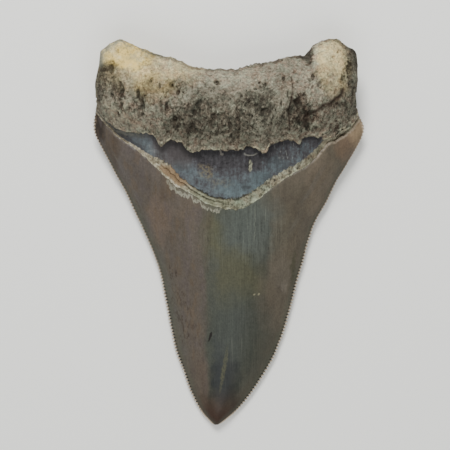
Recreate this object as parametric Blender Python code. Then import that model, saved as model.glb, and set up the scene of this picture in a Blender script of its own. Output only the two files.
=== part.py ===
"""Fossil megalodon tooth, one solid, lying on its flat labial face.

The lingual face looks up (+Z), the tip points to -Y and the root lies towards +Y.
The outlines below are in millimetres; the finished mesh is in metres.
"""

import math

import bmesh
import bpy
import numpy as np
from mathutils import Vector, noise

MM = 0.001

# Driving dimensions, in millimetres.
LENGTH = 110.0
CROWN_HEIGHT = 13.0
CROWN_HEIGHT_AT_TIP = 3.4
SPINE_POWER = 0.85
TIP_ROUND = 0.09  # the share of the crown over which its blunt tip thickens
ENAMEL_STEP = 0.6
BOURLETTE_HOLLOW = 0.5
BOURLETTE_RISE = 1.4
ROOT_STEP = 1.3
ROOT_BULGE = 20.8
LOBE_DROP = 2.6
LUMP_SIZE = 4.2
LUMP_HEIGHT = 0.55
SERRATION_PITCH = 0.95
SERRATION_DEPTH = 0.32
EDGE_STRIP = 1.4
TIP_LIFT = 0.9
LABIAL_DISH = 0.9
LABIAL_STEP = 0.35

# The outline's height above the resting plane: at the tip, then what it gains on the way up.
EDGE_HEIGHT_AT_TIP = 1.3
EDGE_GAIN = 1.5
CORNER_GAIN = 2.4
CORNER_POWER = 8
ROOT_SIDE_GAIN = 4.6
ROOT_SIDE_SHARE = 0.35

# How round each part of the lingual face is across, as powers: 2 is a circle's arc, more is flatter.
CROWN_DOME = 1.9
CROWN_DOME_GAIN = 0.5
CROWN_DOME_SOFTENING = 0.2
BOURLETTE_DOME = 2.4
BOURLETTE_DOME_GAIN = 0.8
BOURLETTE_DOME_POWER = 0.8
ROOT_DOME = 4.5
ROOT_DOME_LOSS = 1.3
ROOT_SIDE_POWER = 0.5
ROOT_SIDE_POWER_GAIN = 0.3
LOW_ROOT = 0.3  # the lowest share of the root, where it is rounder
ROOT_SWELLS = -0.1, 0.42  # the shares of the root between which it rises to its bulge
LOBES_START = 0.35  # from the middle line to the side
CREST_START = 0.45
CREST_ROUNDNESS = 2.2
CREST_POWER = 0.55
SEAM_FADE = 8  # steps and lumps fade out over a part of 1 / this beside the outline
LUMP_FADE_BESIDE = 6
LUMP_FADE_BELOW_CREST = 5

# The labial face rests on its flat middle, this share of the way to each side and up the root.
REST_REACH = 0.5
REST_REACH_GAIN = 0.3
REST_GAIN_SHARE = 0.4
REST_TOP = 0.55
ROUND_FROM = 0.25
TIP_LIFT_SHARE = 0.35
DISH_REACH = 0.42
DISH_FADE = 0.25
DISH_STARTS = 10, 24
DISH_ENDS = 0.2, 0.7
LABIAL_STEP_ENDS = 0.1, 0.45
LABIAL_FADE = 6

# A level runs up the tooth: 0 at the tip, 1 at the enamel's edge, 2 at the root's seam and 3 at its top.
LEFT, RIGHT = 0, 1
TOOTH_TOP = 3
BOURLETTE_SHARE = 0.05  # of the root's side, that lies beside the bourlette's thin ends
CROWN_ROWS = 31
CROWN_ROW_SPREAD = 1.05
BOURLETTE_LEVELS = [1.035, 1.2, 1.4, 1.6, 1.8, 1.95, 2.0]
ROOT_ROWS = 19
ROOT_ROW_SPREAD = 0.9
FRONT_COLUMNS = 50
BACK_COLUMNS = 20
WIDEST_STRIP = 0.06  # of a short row
SIDE_CROWDING = 0.3  # how much closer the columns stand near the sides

# The outline, in plan. Each cutting edge runs from the tip up to where the enamel ends.
TIP = (-3.4, -55.1)
LEFT_EDGE = [TIP, (-4.4, -54.8), (-5.5, -53.8), (-7.9, -51.0), (-10.8, -45.2), (-12.8, -39.5), (-14.9, -33.7),
             (-16.2, -28.0), (-17.3, -22.2), (-18.4, -16.5), (-19.6, -10.8), (-21.6, -5.0), (-24.1, 0.7),
             (-26.8, 6.5), (-29.3, 12.0), (-32.1, 17.0), (-33.9, 20.5), (-35.6, 23.7), (-37.7, 27.8),
             (-38.2, 30.6), (-37.6, 34.1)]
RIGHT_EDGE = [TIP, (-2.3, -54.8), (-0.7, -53.7), (2.6, -50.8), (7.1, -45.2), (10.8, -39.5), (13.0, -35.6),
              (15.2, -30.2), (16.9, -24.9), (18.4, -19.3), (19.8, -13.5), (21.5, -7.8), (23.0, -2.1),
              (25.0, 3.6), (28.2, 9.3), (30.9, 15.0), (32.7, 17.9), (35.9, 23.3), (37.9, 27.0),
              (38.6, 29.8), (37.4, 32.6)]
LEFT_ROOT_SIDE = [(-37.6, 34.1), (-37.5, 34.8), (-37.2, 37.4), (-37.3, 41.6), (-36.4, 45.8), (-36.1, 48.6)]
RIGHT_ROOT_SIDE = [(37.4, 32.6), (36.8, 33.8), (35.9, 37.4), (36.3, 42.0), (36.3, 47.0)]
ROOT_TOP = [(-36.1, 48.6), (-35.8, 50.8), (-33.0, 52.8), (-30.4, 54.2), (-27.7, 53.2), (-24.8, 51.8),
            (-19.2, 49.8), (-14.4, 48.6), (-10.8, 46.8), (-6.6, 46.0), (-0.9, 45.8), (2.0, 45.7), (4.8, 46.7),
            (9.3, 47.5), (14.6, 48.6), (19.4, 49.6), (21.9, 49.5), (23.0, 51.4), (24.8, 53.2), (28.6, 54.3),
            (30.1, 54.5), (32.3, 52.7), (35.4, 51.1), (36.2, 49.0), (36.3, 47.0)]

# Seams of the lingual face: the enamel's ragged edge, and the root's scalloped edge over the bourlette.
ENAMEL_MARGIN = [(-37.6, 34.1), (-34.4, 30.5), (-30.6, 26.7), (-26.8, 24.1), (-22.0, 20.1), (-17.4, 15.6),
                 (-14.6, 13.1), (-10.7, 11.1), (-5.6, 8.0), (0.5, 6.5), (4.1, 7.0), (8.1, 9.1), (11.7, 12.2),
                 (17.6, 16.2), (22.7, 19.3), (27.8, 24.9), (31.0, 26.4), (34.6, 29.1), (37.4, 32.6)]
ROOT_MARGIN = [(-37.5, 34.8), (-35.0, 32.0), (-33.2, 30.3), (-30.9, 29.0), (-28.0, 28.1), (-22.0, 27.5),
               (-20.3, 26.6), (-18.8, 24.1), (-16.4, 25.6), (-13.4, 25.2), (-10.6, 22.6), (-6.2, 23.3),
               (-2.5, 23.1), (2.7, 23.1), (6.1, 24.0), (10.0, 22.4), (11.9, 24.7), (17.2, 26.0), (19.7, 24.9),
               (21.4, 27.0), (28.5, 27.1), (31.4, 28.6), (35.3, 31.9), (36.8, 33.8)]
# The enamel's edge on the labial face is a plain low arch.
LABIAL_MARGIN = [(-37.6, 34.1), (-30.0, 31.0), (-18.0, 26.5), (0.0, 23.5), (18.0, 26.0), (30.0, 29.5),
                 (37.4, 32.6)]

# Hollows in the root's face: x, y, radius, depth.
ROOT_HOLLOWS = [(-3.1, 41.2, 1.5, 1.3), (-20.0, 41.2, 2.4, 0.7), (-24.5, 36.5, 2.6, 0.9),
                (-30.6, 39.8, 2.8, 0.9), (-32.5, 45.3, 1.8, 0.7), (-14.1, 38.7, 2.0, 0.7),
                (-7.8, 33.2, 1.9, 0.8), (9.6, 40.4, 1.8, 0.8), (15.6, 40.0, 2.0, 0.6),
                (23.3, 43.1, 1.9, 0.8), (31.5, 42.6, 2.0, 0.8), (18.9, 33.2, 3.0, 1.0),
                (5.6, 24.2, 2.1, 1.0)]
HOLLOW_SOFTNESS = 1.4

# The material, grey-brown fossil enamel and bone.
FOSSIL_COLOUR = 0.16, 0.14, 0.11, 1
FOSSIL_ROUGHNESS = 0.5


def smooth_line(points, steps=16):
    """A Catmull-Rom curve through the points, as many short steps."""
    given = np.array(points, float)
    padded = np.vstack([2 * given[0] - given[1], given, 2 * given[-1] - given[-2]])
    t = np.linspace(0, 1, steps, endpoint=False)[:, None]
    spans = []
    for a, b, c, d in zip(padded, padded[1:], padded[2:], padded[3:]):
        spans.append(0.5 * (2 * b + (c - a) * t + (2 * a - 5 * b + 4 * c - d) * t**2
                            + (3 * b - a - 3 * c + d) * t**3))
    return np.vstack(spans + [given[-1:]])


class Run:
    """A curve measured by its own length."""

    def __init__(self, points):
        self.line = smooth_line(points)
        steps = np.linalg.norm(np.diff(self.line, axis=0), axis=1)
        self.so_far = np.insert(np.cumsum(steps), 0, 0)
        self.length = self.so_far[-1]

    def at(self, share):
        return np.array([np.interp(share * self.length, self.so_far, self.line[:, k]) for k in (0, 1)])


class Seam:
    """A curve measured by its width, from left to right."""

    def __init__(self, points):
        line = smooth_line(points)
        self.x, self.y = np.maximum.accumulate(line[:, 0]), line[:, 1]

    def at(self, share):
        x = self.x[0] + share * (self.x[-1] - self.x[0])
        return np.array([x, np.interp(x, self.x, self.y)])


class Point:
    """A seam of no width."""

    def at(self, _share):
        return np.array(TIP)


edges = Run(LEFT_EDGE), Run(RIGHT_EDGE)
root_sides = Run(LEFT_ROOT_SIDE), Run(RIGHT_ROOT_SIDE)
tip, enamel, root_seam, top = Point(), Seam(ENAMEL_MARGIN), Seam(ROOT_MARGIN), Seam(ROOT_TOP)
labial = Seam(LABIAL_MARGIN)


def ramp(value, low, high):
    """A smooth rise from 0 at low to 1 at high."""
    t = min(max((value - low) / (high - low), 0), 1)
    return t * t * (3 - 2 * t)


def root_share(level):
    """How far up the root's side a level lies."""
    if level <= 2:
        return BOURLETTE_SHARE * max(level - 1, 0)
    return BOURLETTE_SHARE + (1 - BOURLETTE_SHARE) * (level - 2)


def rim(side, level):
    """A point of the outline."""
    return edges[side].at(level) if level <= 1 else root_sides[side].at(root_share(level))


def rim_height(level):
    """The outline's height above the resting plane: thin at the cutting edge, thick at the root."""
    t = min(level, 1)
    on_edge = EDGE_HEIGHT_AT_TIP + EDGE_GAIN * t + CORNER_GAIN * t**CORNER_POWER
    return on_edge + ROOT_SIDE_GAIN * ramp(root_share(level), 0, ROOT_SIDE_SHARE)


def between(low, high, share, t, level):
    """A point t of the way from one seam to the next, kept to the outline at both ends."""
    point = (1 - t) * low.at(share) + t * high.at(share)
    for side, weight in ((LEFT, 1 - share), (RIGHT, share)):
        point = point + weight * (rim(side, level) - (1 - t) * low.at(side) - t * high.at(side))
    return point


def crown_plan(margin, share, level):
    """The crown's rows are straight near the tip and bend more and more like the enamel's edge."""
    chord = (1 - share) * rim(LEFT, level) + share * rim(RIGHT, level)
    return chord + level * (between(tip, margin, share, level, level) - chord)


def lingual_plan(share, level):
    """Where a column's share of a row lies on the lingual face, in plan."""
    if level <= 1:
        return crown_plan(enamel, share, level)
    if level <= 2:
        return between(enamel, root_seam, share, level - 1, level)
    return between(root_seam, top, share, level - 2, level)


def labial_plan(share, level):
    """The same for the labial face, which has no bourlette."""
    if level <= 1:
        return crown_plan(labial, share, level)
    return between(labial, top, share, root_share(level), level)


def root_relief(x, y):
    """Lumps and hollows of the root's weathered face."""
    lumps = noise.noise(Vector((x / LUMP_SIZE, y / LUMP_SIZE, 3.7)))
    lumps += 0.5 * noise.noise(Vector((2 * x / LUMP_SIZE, 2 * y / LUMP_SIZE, 8.1)))
    height = LUMP_HEIGHT * lumps
    for at_x, at_y, radius, depth in ROOT_HOLLOWS:
        near = ((x - at_x) ** 2 + (y - at_y) ** 2) / radius**2
        height -= depth * math.exp(-HOLLOW_SOFTNESS * near)
    return height


def lingual_height(share, level, x, y):
    """The lingual face's height: a domed crown, a hollow bourlette and a bulging root."""
    s = abs(2 * share - 1)
    inward = min(1, SEAM_FADE * (1 - s))
    edge = rim_height(level)
    spine = math.sin(0.5 * math.pi * min(level, 1)) ** SPINE_POWER
    crown = CROWN_HEIGHT_AT_TIP + (CROWN_HEIGHT - CROWN_HEIGHT_AT_TIP) * spine
    crown = edge + (crown - edge) * math.sqrt(1 - max(0, 1 - level / TIP_ROUND) ** 2)
    if level <= 1:
        dome = (1 - s ** (CROWN_DOME + CROWN_DOME_GAIN * level)) ** (1 - CROWN_DOME_SOFTENING * level**4)
        return edge + (crown - edge) * dome
    if level < 2:
        t = level - 1
        dome = (1 - s ** (BOURLETTE_DOME + BOURLETTE_DOME_GAIN * t)) ** BOURLETTE_DOME_POWER
        bourlette = crown + BOURLETTE_RISE * t - BOURLETTE_HOLLOW * math.sin(math.pi * t)
        return edge + (bourlette - edge) * dome - ENAMEL_STEP * inward
    t = level - 2
    brow = CROWN_HEIGHT + BOURLETTE_RISE + (ROOT_STEP - ENAMEL_STEP) * inward
    bulge = brow + (ROOT_BULGE - brow) * ramp(t, *ROOT_SWELLS) - LOBE_DROP * ramp(s, LOBES_START, 1)
    low_down = 1 - ramp(t, 0, LOW_ROOT)
    beside = 1 - s ** (ROOT_DOME - ROOT_DOME_LOSS * low_down)
    beside = beside ** (ROOT_SIDE_POWER + ROOT_SIDE_POWER_GAIN * low_down)
    above = (1 - max(0, (t - CREST_START) / (1 - CREST_START)) ** CREST_ROUNDNESS) ** CREST_POWER
    fade = min(1, LUMP_FADE_BESIDE * (1 - s)) * min(1, LUMP_FADE_BELOW_CREST * (1 - t))
    return edge + (bulge - edge) * beside * above + fade * root_relief(x, y)


def labial_height(share, level, _x, y):
    """The labial face's height: flat where it rests, rounding up to the outline."""
    s = abs(2 * share - 1)
    t = root_share(level)
    reach = REST_REACH + REST_REACH_GAIN * ramp(t, 0, REST_GAIN_SHARE)
    beside = max(0, (s - reach) / (1 - reach))
    above = max(0, (t - REST_TOP) / (1 - REST_TOP))
    near = min(1, (beside**3 + above**3) ** (1 / 3))
    round_share = ramp(t, 0, ROUND_FROM)
    rise = round_share * (1 - math.sqrt(1 - near**2)) + (1 - round_share) * near**2
    lift = TIP_LIFT * max(0, 1 - level / TIP_LIFT_SHARE) ** 2
    dish = ramp(DISH_REACH - s, 0, DISH_FADE) * ramp(y, *DISH_STARTS) * (1 - ramp(t, *DISH_ENDS))
    lift += LABIAL_DISH * dish
    if level > 1:
        lift += LABIAL_STEP * (1 - ramp(t, *LABIAL_STEP_ENDS)) * min(1, LABIAL_FADE * (1 - s))
    return rim_height(level) * rise + lift * (1 - near)


def column_shares(columns, width):
    """Spreads a row's inner columns, with a narrow strip left beside each edge."""
    strip = min(EDGE_STRIP / width, 0.5 / columns + WIDEST_STRIP)
    even = np.linspace(0, 1, columns - 1)
    rounded = 0.5 - 0.5 * np.cos(math.pi * even)
    return strip + (1 - 2 * strip) * (even + SIDE_CROWDING * (rounded - even))


def serrated_rim(side, low, high):
    """Points of the outline from one level to the next, without the first; the edge's are notched."""
    if high > 1:
        return [(*rim(side, high), rim_height(high))]
    notches = max(1, round((high - low) * edges[side].length / SERRATION_PITCH))
    points = []
    for k in range(1, 2 * notches + 1):
        level = low + (high - low) * k / (2 * notches)
        x, y = rim(side, level)
        if k % 2 and low > 0:
            run = rim(side, high) - rim(side, low)
            inward = np.array([run[1], -run[0]]) * (1 if side == LEFT else -1) / np.linalg.norm(run)
            x, y = (x, y) + SERRATION_DEPTH * inward
        points.append((x, y, rim_height(level)))
    return points


def tooth_points_and_faces():
    """One closed surface: two lofted faces that share the outline's points."""
    levels = [(k / CROWN_ROWS) ** CROWN_ROW_SPREAD for k in range(CROWN_ROWS + 1)] + BOURLETTE_LEVELS
    root_turns = [0.5 * math.pi * k / ROOT_ROWS for k in range(1, ROOT_ROWS + 1)]
    levels += [2 + math.sin(turn) ** ROOT_ROW_SPREAD for turn in root_turns]
    points, faces = [], []

    def add(x, y, z):
        points.append((x, y, z))
        return len(points) - 1

    def strip(lower, upper):
        """Triangles between two runs of points that may have different counts."""
        i, j = 0, 0
        while i < len(lower) - 1 or j < len(upper) - 1:
            lower_is_behind = (i + 1) * max(len(upper) - 1, 1) <= (j + 1) * max(len(lower) - 1, 1)
            if j == len(upper) - 1 or (i < len(lower) - 1 and lower_is_behind):
                face = (lower[i], lower[i + 1], upper[j])
                i += 1
            else:
                face = (lower[i], upper[j + 1], upper[j])
                j += 1
            if len(set(face)) == 3:
                faces.append(face)

    tip_point = add(*TIP, rim_height(0))
    width = rim(RIGHT, TOOTH_TOP)[0] - rim(LEFT, TOOTH_TOP)[0]
    crest_shares = [0, *column_shares(FRONT_COLUMNS, width), 1]
    crest = [add(*top.at(share), rim_height(TOOTH_TOP)) for share in crest_shares]
    rims = []
    for side in (LEFT, RIGHT):
        steps = [[tip_point]]
        for low, high in zip(levels, levels[1:-1]):
            steps.append([add(*point) for point in serrated_rim(side, low, high)])
        rims.append(steps)

    for columns, plan, height in (
        (FRONT_COLUMNS, lingual_plan, lingual_height),
        (BACK_COLUMNS, labial_plan, labial_height),
    ):
        rows = [[tip_point]]
        for level in levels[1:-1]:
            width = rim(RIGHT, level)[0] - rim(LEFT, level)[0]
            row = []
            for share in column_shares(columns, width):
                x, y = plan(share, level)
                row.append(add(x, y, height(share, level, x, y)))
            rows.append(row)
        for k in range(len(rows) - 1):
            strip(rows[k], rows[k + 1])
            strip([rims[LEFT][k][-1], *rims[LEFT][k + 1]], [rows[k][0], rows[k + 1][0]])
            strip([rims[RIGHT][k][-1], *rims[RIGHT][k + 1]], [rows[k][-1], rows[k + 1][-1]])
        strip([rims[LEFT][-1][-1], *rows[-1], rims[RIGHT][-1][-1]], crest)
    return np.array(points), faces


def tooth_mesh():
    """The tooth at its real length, centred over its resting plane, in metres."""
    points, faces = tooth_points_and_faces()
    low, high = points.min(axis=0), points.max(axis=0)
    foot = np.array([(low[0] + high[0]) / 2, (low[1] + high[1]) / 2, low[2]])
    scale = MM * LENGTH / (high[1] - low[1])
    mesh = bpy.data.meshes.new("megalodon_tooth")
    mesh.from_pydata((scale * (points - foot)).tolist(), [], faces)
    shaped = bmesh.new()
    shaped.from_mesh(mesh)
    bmesh.ops.recalc_face_normals(shaped, faces=shaped.faces)
    shaped.to_mesh(mesh)
    shaped.free()
    mesh.shade_smooth()
    return mesh


def fossil_material():
    material = bpy.data.materials.new("fossil")
    material.use_nodes = True
    surface = material.node_tree.nodes["Principled BSDF"]
    surface.inputs["Base Color"].default_value = FOSSIL_COLOUR
    surface.inputs["Roughness"].default_value = FOSSIL_ROUGHNESS
    surface.inputs["Metallic"].default_value = 0.0
    return material


for old in list(bpy.data.objects):
    bpy.data.objects.remove(old, do_unlink=True)

tooth = bpy.data.objects.new("megalodon_tooth", tooth_mesh())
tooth.data.materials.append(fossil_material())
bpy.context.scene.collection.objects.link(tooth)
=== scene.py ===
import math

import bmesh
import bpy
import numpy as np
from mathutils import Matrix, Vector, noise


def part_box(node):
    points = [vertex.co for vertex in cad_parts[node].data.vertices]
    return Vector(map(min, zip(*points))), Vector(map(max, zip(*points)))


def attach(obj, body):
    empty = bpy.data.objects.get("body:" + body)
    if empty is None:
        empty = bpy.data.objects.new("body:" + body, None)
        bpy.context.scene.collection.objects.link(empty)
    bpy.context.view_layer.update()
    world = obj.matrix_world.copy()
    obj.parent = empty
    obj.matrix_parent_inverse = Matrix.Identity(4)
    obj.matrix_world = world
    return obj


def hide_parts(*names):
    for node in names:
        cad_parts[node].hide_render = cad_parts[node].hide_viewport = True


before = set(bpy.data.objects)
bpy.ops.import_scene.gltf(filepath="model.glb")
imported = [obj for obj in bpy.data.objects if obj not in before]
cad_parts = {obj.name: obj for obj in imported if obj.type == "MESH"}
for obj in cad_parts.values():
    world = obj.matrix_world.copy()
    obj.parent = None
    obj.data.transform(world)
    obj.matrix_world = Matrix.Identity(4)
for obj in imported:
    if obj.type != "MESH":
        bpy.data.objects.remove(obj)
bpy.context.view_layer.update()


# ---- The tooth's form -------------------------------------------------------------------------
# One fossil tooth that grew as a single body: a pitted root, a dark bourlette and an enamelled
# crown. It is shaped here as two faces, lingual above and labial below, that share one outline.
# The outline and the seams are in millimetres, as the tooth lies, and are scaled to the frame.

MM = 0.001
CROWN_HEIGHT = 13.0
CROWN_HEIGHT_AT_TIP = 3.4
SPINE_POWER = 0.85
TIP_ROUND = 0.09  # the share of the crown over which its blunt tip thickens
ENAMEL_STEP = 0.6
ENAMEL_STEP_SHARE = 0.03  # of the bourlette, over which it falls
BOURLETTE_HOLLOW = 0.5
BOURLETTE_RISE = 1.4
ROOT_STEP = 1.3
BROW_START = 0.7  # of the step, and the rest over this share of the root
BROW_SHARE = 0.01
LIP_RISE = 0.35  # of the step, in the bourlette's last rows
LIP_TUCK = 0.45
LIP_LEVEL = 1.985
LIP_SPAN = 0.015
ROOT_BULGE = 20.8
LOBE_DROP = 2.6
TIP_LIFT = 0.9
LABIAL_DISH = 0.9
LABIAL_STEP = 0.35
BOURLETTE_SHARE = 0.05  # of the root's side, that lies beside the bourlette's thin ends

# The outline's height above the resting plane: at the tip, then what it gains on the way up.
EDGE_HEIGHT_AT_TIP = 1.3
EDGE_GAIN = 1.5
CORNER_GAIN = 2.4
CORNER_POWER = 8
ROOT_SIDE_GAIN = 4.6
ROOT_SIDE_SHARE = 0.35

# How round each part is across, as powers: 2 is a circle's arc, more is flatter.
CROWN_DOME = 1.9
CROWN_DOME_GAIN = 0.5
CROWN_DOME_SOFTENING = 0.2
BOURLETTE_DOME = 2.4
BOURLETTE_DOME_GAIN = 0.8
BOURLETTE_DOME_POWER = 0.8
ROOT_DOME = 4.5
ROOT_DOME_LOSS = 1.3
ROOT_SIDE_POWER = 0.5
ROOT_SIDE_POWER_GAIN = 0.3
LOW_ROOT = 0.3  # the lowest share of the root, where it is rounder
ROOT_SWELLS = -0.1, 0.42  # the shares of the root between which it rises to its bulge
LOBES_START = 0.35  # from the middle line to the side
CREST_START = 0.45
CREST_ROUNDNESS = 2.2
CREST_POWER = 0.55
SEAM_FADE = 8  # steps fade out over a part of 1 / this beside the outline, lumps over these
LUMP_FADE_BESIDE = 6
LUMP_FADE_BELOW_CREST = 5

# The labial face rests on its flat middle, this share of the way to each side and up the root.
REST_REACH = 0.5
REST_REACH_GAIN = 0.3
REST_GAIN_SHARE = 0.4
REST_TOP = 0.55
ROUND_FROM = 0.25
TIP_LIFT_SHARE = 0.35
DISH_REACH = 0.42
DISH_FADE = 0.25
DISH_STARTS = 10, 24
DISH_ENDS = 0.2, 0.7
LABIAL_STEP_ENDS = 0.1, 0.45
LABIAL_FADE = 6

TIP = (-3.4, -55.1)
LEFT_EDGE = [
    TIP, (-4.4, -54.8), (-5.5, -53.8), (-7.9, -51), (-10.8, -45.2), (-12.8, -39.5), (-14.9, -33.7),
    (-16.2, -28), (-17.3, -22.2), (-18.4, -16.5), (-19.6, -10.8), (-21.6, -5), (-24.1, 0.7),
    (-26.8, 6.5), (-29.3, 12), (-32.1, 17), (-33.9, 20.5), (-35.6, 23.7), (-37.7, 27.8), (-38.2, 30.6),
    (-37.6, 34.1)]
RIGHT_EDGE = [
    TIP, (-2.3, -54.8), (-0.7, -53.7), (2.6, -50.8), (7.1, -45.2), (10.8, -39.5), (13, -35.6),
    (15.2, -30.2), (16.9, -24.9), (18.4, -19.3), (19.8, -13.5), (21.5, -7.8), (23, -2.1), (25, 3.6),
    (28.2, 9.3), (30.9, 15), (32.7, 17.9), (35.9, 23.3), (37.9, 27), (38.6, 29.8), (37.4, 32.6)]
LEFT_ROOT_SIDE = [(-37.6, 34.1), (-37.5, 34.8), (-37.2, 37.4), (-37.3, 41.6), (-36.4, 45.8), (-36.1, 48.6)]
RIGHT_ROOT_SIDE = [(37.4, 32.6), (36.8, 33.8), (35.9, 37.4), (36.3, 42), (36.3, 47)]
ROOT_TOP = [
    (-36.1, 48.6), (-35.8, 50.8), (-33, 52.8), (-30.4, 54.2), (-27.7, 53.2), (-24.8, 51.8), (-19.2, 49.8),
    (-14.4, 48.6), (-10.8, 46.8), (-6.6, 46), (-0.9, 45.8), (2, 45.7), (4.8, 46.7), (9.3, 47.5),
    (14.6, 48.6), (19.4, 49.6), (21.9, 49.5), (23, 51.4), (24.8, 53.2), (28.6, 54.3), (30.1, 54.5),
    (32.3, 52.7), (35.4, 51.1), (36.2, 49), (36.3, 47)]
ENAMEL_MARGIN = [
    (-37.6, 34.1), (-34.4, 30.5), (-30.6, 26.7), (-26.8, 24.1), (-22, 20.1), (-17.4, 15.6), (-14.6, 13.1),
    (-10.7, 11.1), (-5.6, 8), (0.5, 6.5), (4.1, 7), (8.1, 9.1), (11.7, 12.2), (17.6, 16.2),
    (22.7, 19.3), (27.8, 24.9), (31, 26.4), (34.6, 29.1), (37.4, 32.6)]
ROOT_MARGIN = [
    (-37.5, 34.8), (-35, 32), (-33.2, 30.3), (-30.9, 29), (-28, 28.1), (-22, 27.5), (-20.3, 26.6),
    (-18.8, 24.1), (-16.4, 25.6), (-13.4, 25.2), (-10.6, 22.6), (-6.2, 23.3), (-2.5, 23.1), (2.7, 23.1),
    (6.1, 24), (10, 22.4), (11.9, 24.7), (17.2, 26), (19.7, 24.9), (21.4, 27), (28.5, 27.1),
    (31.4, 28.6), (35.3, 31.9), (36.8, 33.8)]
LABIAL_MARGIN = [
    (-37.6, 34.1), (-30, 31), (-18, 26.5), (0, 23.5), (18, 26), (30, 29.5), (37.4, 32.6)]
ROOT_HOLLOWS = [
    (-3.1, 41.2, 1.5, 1.3), (-20, 41.2, 2.4, 0.7), (-24.5, 36.5, 2.6, 0.9), (-30.6, 39.8, 2.8, 0.9),
    (-32.5, 45.3, 1.8, 0.7), (-14.1, 38.7, 2, 0.7), (-7.8, 33.2, 1.9, 0.8), (9.6, 40.4, 1.8, 0.8),
    (15.6, 40, 2, 0.6), (23.3, 43.1, 1.9, 0.8), (31.5, 42.6, 2, 0.8), (18.9, 33.2, 3, 1),
    (5.6, 24.2, 2.1, 1)]
HOLLOW_SOFTNESS = 1.4
LUMP_SIZE = 4.2
LUMP_HEIGHT = 0.55
# The seams wander coarsely and finely, but not at their ends.
SEAM_STEPS = 900
SEAM_WANDERS = 1.7, 0.6
SEAM_END_FADE = 40

# How fine the mesh is. Inside the edge strips the rows are fine enough for the serrations.
EDGE_STRIP = 1.4
STRIP_DISTANCES = [0.3, 0.65, 1.0]
EDGE_STEP = 0.135
WIDEST_STRIP = 0.1  # of a short row
SIDE_CROWDING = 0.3  # how much closer the columns stand near the sides
CROWN_COLUMNS = 120
ROOT_COLUMNS = 320
LABIAL_COLUMNS = 90
CROWN_ROWS = 86
CROWN_ROW_SPREAD = 1.02
ROOT_ROWS = 112
ROOT_ROW_SPREAD = 0.95
LEFT, RIGHT = 0, 1
TOOTH_TOP = 3
# A level runs up the tooth: 0 at the tip, 1 at the enamel's edge, 2 at the root's seam, 3 at its top.
CROWN_LEVELS = list(np.linspace(0, 1, CROWN_ROWS)[1:] ** CROWN_ROW_SPREAD)
LOWER_BOURLETTE_LEVELS = [1.006, 1.014, 1.024, 1.036, 1.05, 1.068, 1.088, *np.linspace(1.11, 1.42, 10)]
UPPER_BOURLETTE_LEVELS = [*np.linspace(1.46, 1.92, 16), 1.95, 1.97]
LIP_LEVELS = [1.985, 1.995, 2.0, 2.004, 2.01]
root_rows = np.sin(0.5 * math.pi * np.linspace(0, 1, ROOT_ROWS)[1:-1]) ** ROOT_ROW_SPREAD
ROOT_LEVELS = list(LIP_LEVELS[-1] + (TOOTH_TOP - LIP_LEVELS[-1]) * root_rows)


def smooth_line(points, steps=16):
    """A Catmull-Rom curve through the points, in short steps."""
    given = np.array(points, float)
    padded = np.vstack([2 * given[0] - given[1], given, 2 * given[-1] - given[-2]])
    t = np.linspace(0, 1, steps, endpoint=False)[:, None]
    spans = []
    for a, b, c, d in zip(padded, padded[1:], padded[2:], padded[3:]):
        spans.append(0.5 * (2 * b + (c - a) * t + (2 * a - 5 * b + 4 * c - d) * t**2
                            + (3 * b - a - 3 * c + d) * t**3))
    return np.vstack(spans + [given[-1:]])


class Run:
    """A curve measured by its own length."""

    def __init__(self, points):
        self.line = smooth_line(points)
        steps = np.linalg.norm(np.diff(self.line, axis=0), axis=1)
        self.so_far = np.insert(np.cumsum(steps), 0, 0)
        self.length = self.so_far[-1]

    def at(self, share):
        return np.array([np.interp(share * self.length, self.so_far, self.line[:, k]) for k in (0, 1)])


class Seam:
    """A curve measured by its width, from left to right, and ragged by this depth."""

    def __init__(self, points, ragged):
        line = smooth_line(points)
        rough_x = np.maximum.accumulate(line[:, 0])
        self.x = np.linspace(rough_x[0], rough_x[-1], SEAM_STEPS)
        self.y = np.interp(self.x, rough_x, line[:, 1])
        coarse, fine = SEAM_WANDERS
        for k, x in enumerate(self.x):
            wander = noise.noise(Vector((x / coarse, 5.0, 0))) + 0.8 * noise.noise(Vector((x / fine, 9.0, 0)))
            from_end = min(k, SEAM_STEPS - 1 - k)
            self.y[k] += ragged * wander * min(1, from_end / SEAM_END_FADE)
        self.line = np.column_stack([self.x, self.y])

    def at(self, shares):
        x = self.x[0] + np.asarray(shares) * (self.x[-1] - self.x[0])
        return np.stack([x, np.interp(x, self.x, self.y)], axis=-1)


class Point:
    """A seam of no width."""

    def at(self, shares):
        return np.asarray(shares)[..., None] * 0 + np.array(TIP)


edges = Run(LEFT_EDGE), Run(RIGHT_EDGE)
root_sides = Run(LEFT_ROOT_SIDE), Run(RIGHT_ROOT_SIDE)
tip = Point()
enamel, labial = Seam(ENAMEL_MARGIN, ragged=0.26), Seam(LABIAL_MARGIN, ragged=0.15)
root_seam, top = Seam(ROOT_MARGIN, ragged=0.42), Seam(ROOT_TOP, ragged=0.45)


def ramp(value, low, high):
    """A smooth rise from 0 at low to 1 at high."""
    t = np.clip((value - low) / (high - low), 0, 1)
    return t * t * (3 - 2 * t)


def root_share(level):
    """How far up the root's side a level lies."""
    if level <= 2:
        return BOURLETTE_SHARE * max(level - 1, 0)
    return BOURLETTE_SHARE + (1 - BOURLETTE_SHARE) * (level - 2)


def rim(side, level):
    """A point of the outline."""
    return edges[side].at(level) if level <= 1 else root_sides[side].at(root_share(level))


def rim_height(level):
    """The outline's height: thin at the cutting edge, thick at the root."""
    t = min(level, 1)
    root_side = ROOT_SIDE_GAIN * ramp(root_share(level), 0, ROOT_SIDE_SHARE)
    return EDGE_HEIGHT_AT_TIP + EDGE_GAIN * t + CORNER_GAIN * t**CORNER_POWER + root_side


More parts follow.
